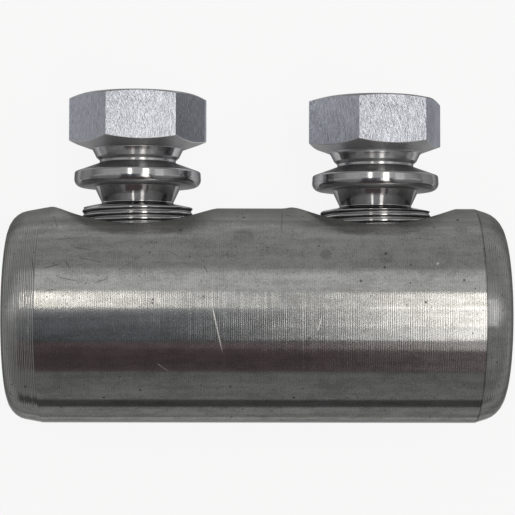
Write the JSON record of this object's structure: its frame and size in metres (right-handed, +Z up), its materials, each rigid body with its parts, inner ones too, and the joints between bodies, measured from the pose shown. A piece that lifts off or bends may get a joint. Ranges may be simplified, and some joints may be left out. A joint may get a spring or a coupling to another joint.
{
  "type": "shear-bolt cable connector",
  "caption": "Round tinned barrel with a blind conductor bore at each end, a countersunk tapped hole over each bore and a shear-head hexagon bolt in each hole, for joining cables end to end.",
  "frame": {"origin": "centre of the part's box, on the floor that it lies on", "axes": "+X along the barrel from the left bolt to the right one, +Y the way the bolt heads point, +Z up from the floor"},
  "size_m": [0.0534, 0.0362, 0.0232],
  "materials": {
    "tinned_barrel": "satin tin plate over turning marks",
    "turned_bolt": "bright turned and milled metal"
  },
  "bodies": {
    "barrel": {"barrel": "tinned_barrel"},
    "left_bolt": {"left_shear_bolt": "turned_bolt"},
    "right_bolt": {"right_shear_bolt": "turned_bolt"}
  },
  "joints": [
    {"name": "left_bolt_feed", "type": "slide", "parent": "barrel", "child": "left_bolt", "axis": [0, 0.9798, -0.1999], "range_m": [-0.004, 0.00225]},
    {"name": "right_bolt_feed", "type": "slide", "parent": "barrel", "child": "right_bolt", "axis": [0, 0.9798, -0.1999], "range_m": [-0.00375, 0.00225]}
  ]
}
